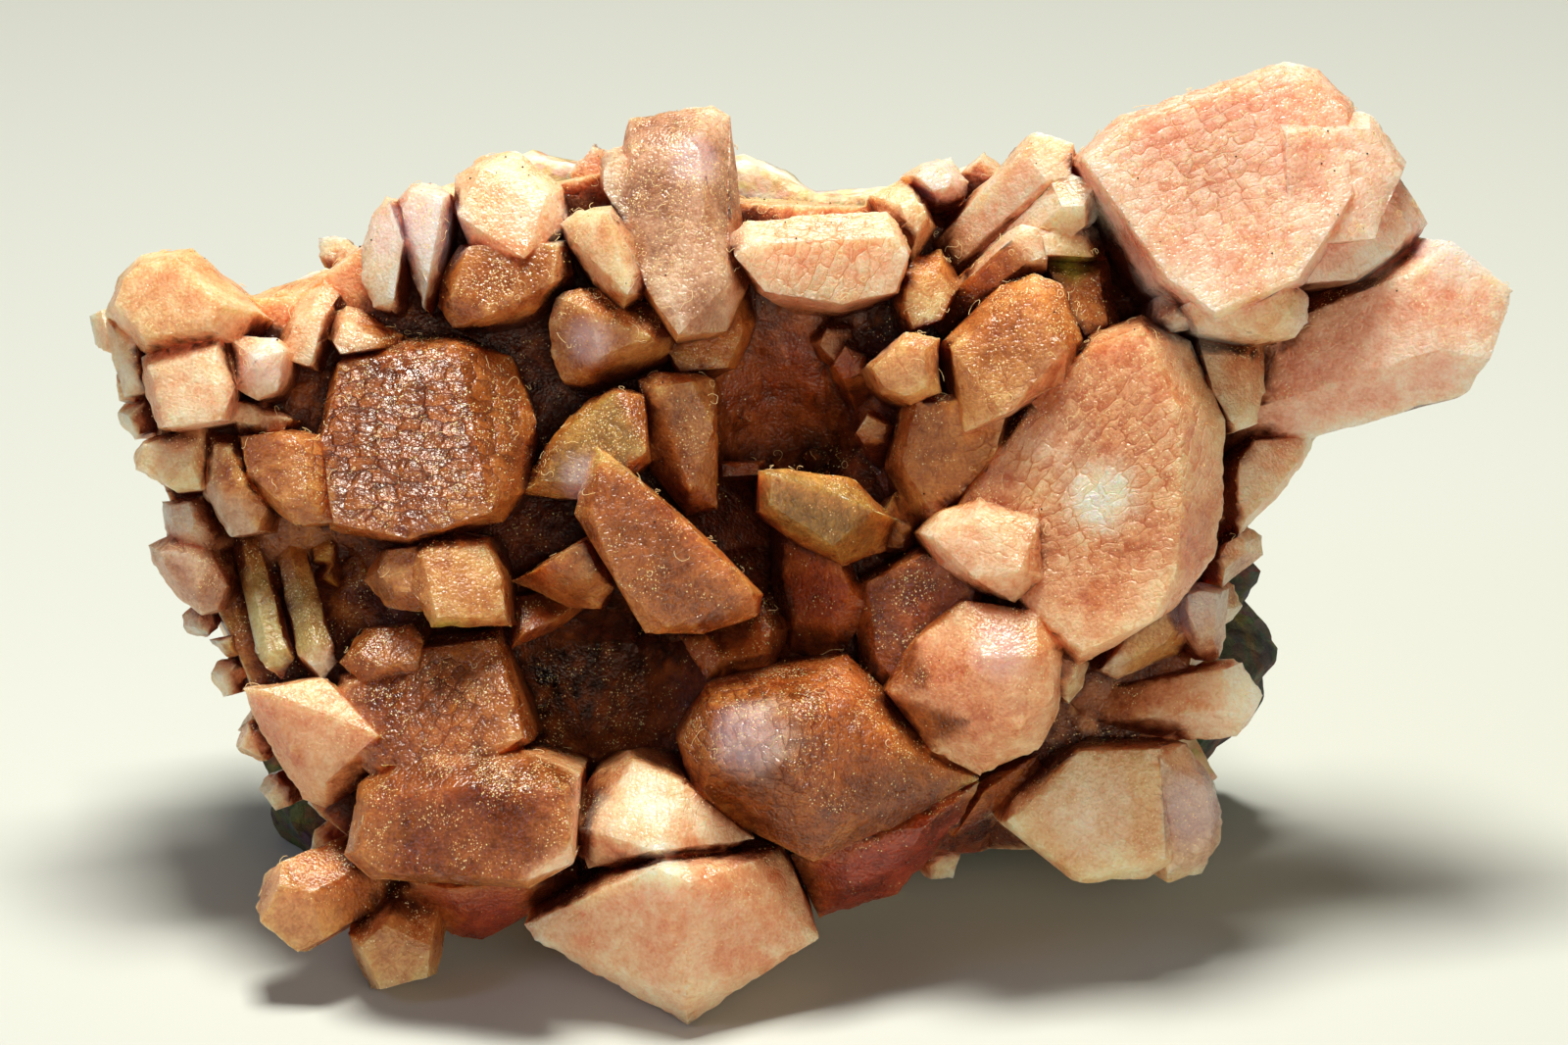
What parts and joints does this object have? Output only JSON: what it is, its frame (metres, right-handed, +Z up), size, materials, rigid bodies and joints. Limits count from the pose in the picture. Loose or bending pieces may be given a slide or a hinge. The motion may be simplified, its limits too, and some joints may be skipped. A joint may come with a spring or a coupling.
{
  "type": "calcite crystal specimen",
  "caption": "Cabinet specimen of salmon-pink calcite crystals grown together over a pale calcite band on a piece of dark host rock.",
  "frame": {"origin": "on the flat foot of the host rock, under its middle, at the floor the specimen stands on", "axes": "+Z up, +X to the right and +Y away from the viewer when the crystals face the viewer"},
  "size_m": [0.0886, 0.0417, 0.0527],
  "materials": {
    "salmon_calcite": "glassy to frosted, translucent",
    "pale_calcite": "rough sugary",
    "dark_rock": "rough matt"
  },
  "bodies": {
    "root": {"calcite_cluster": "salmon_calcite", "pale_calcite_band": "pale_calcite", "host_rock": "dark_rock"}
  },
  "joints": []
}
